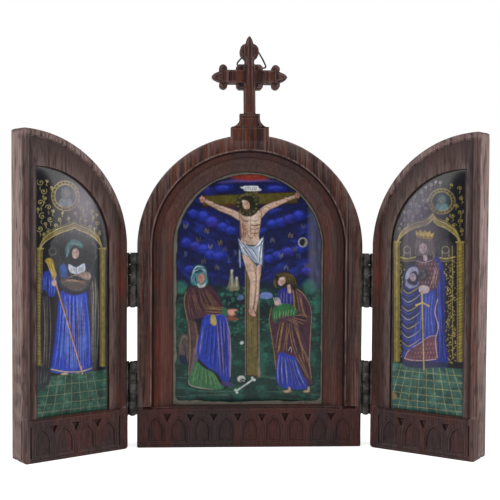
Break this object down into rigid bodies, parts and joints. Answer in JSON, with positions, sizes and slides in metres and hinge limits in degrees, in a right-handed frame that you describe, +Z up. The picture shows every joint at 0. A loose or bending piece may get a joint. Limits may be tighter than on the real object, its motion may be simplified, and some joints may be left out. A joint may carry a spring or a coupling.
{
  "type": "triptych altarpiece",
  "caption": "Small standing oak triptych with a carved cross, two hinged wings and domed painted-enamel pictures.",
  "frame": {"origin": "middle of the centre panel's underside, at mid-thickness of its board", "axes": "+Z up, +X to the viewer's right along the width, -Y out of the carved front"},
  "size_m": [0.3027, 0.066, 0.2732],
  "materials": {
    "oak": "dark stained and waxed, open grained",
    "enamel": "glossy painted enamel",
    "hinge_metal": "dark aged",
    "ring_wire": "darkened wire"
  },
  "bodies": {
    "centre": {"centre_enamel": "enamel", "centre_panel": "oak", "left_lower_hinge_fixed_leaf": "hinge_metal", "left_lower_hinge_fixed_screw_bottom": "hinge_metal", "left_lower_hinge_fixed_screw_top": "hinge_metal", "left_lower_hinge_pin": "hinge_metal", "left_upper_hinge_fixed_leaf": "hinge_metal", "left_upper_hinge_fixed_screw_bottom": "hinge_metal", "left_upper_hinge_fixed_screw_top": "hinge_metal", "left_upper_hinge_pin": "hinge_metal", "right_lower_hinge_fixed_leaf": "hinge_metal", "right_lower_hinge_fixed_screw_bottom": "hinge_metal", "right_lower_hinge_fixed_screw_top": "hinge_metal", "right_lower_hinge_pin": "hinge_metal", "right_upper_hinge_fixed_leaf": "hinge_metal", "right_upper_hinge_fixed_screw_bottom": "hinge_metal", "right_upper_hinge_fixed_screw_top": "hinge_metal", "right_upper_hinge_pin": "hinge_metal", "ring_plate": "hinge_metal", "ring_plate_nail_left": "hinge_metal", "ring_plate_nail_right": "hinge_metal"},
    "left_wing": {"left_enamel": "enamel", "left_lower_hinge_wing_leaf": "hinge_metal", "left_lower_hinge_wing_screw_bottom": "hinge_metal", "left_lower_hinge_wing_screw_top": "hinge_metal", "left_upper_hinge_wing_leaf": "hinge_metal", "left_upper_hinge_wing_screw_bottom": "hinge_metal", "left_upper_hinge_wing_screw_top": "hinge_metal", "left_wing": "oak"},
    "right_wing": {"right_enamel": "enamel", "right_lower_hinge_wing_leaf": "hinge_metal", "right_lower_hinge_wing_screw_bottom": "hinge_metal", "right_lower_hinge_wing_screw_top": "hinge_metal", "right_upper_hinge_wing_leaf": "hinge_metal", "right_upper_hinge_wing_screw_bottom": "hinge_metal", "right_upper_hinge_wing_screw_top": "hinge_metal", "right_wing": "oak"},
    "ring": {"hanging_ring": "ring_wire"}
  },
  "joints": [
    {"name": "left_wing_hinge", "type": "hinge", "parent": "centre", "child": "left_wing", "pos_m": [-0.0779, -0.0108, 0.075], "axis": [0, 0, 1], "range_deg": [-46.6, 145.4]},
    {"name": "right_wing_hinge", "type": "hinge", "parent": "centre", "child": "right_wing", "pos_m": [0.0779, -0.0108, 0.075], "axis": [0, 0, -1], "range_deg": [-48.4, 143.6]},
    {"name": "ring_swing", "type": "hinge", "parent": "centre", "child": "ring", "pos_m": [0.00045, 0.0027, 0.2546], "axis": [-1, 0, 0], "range_deg": [0, 175]}
  ]
}
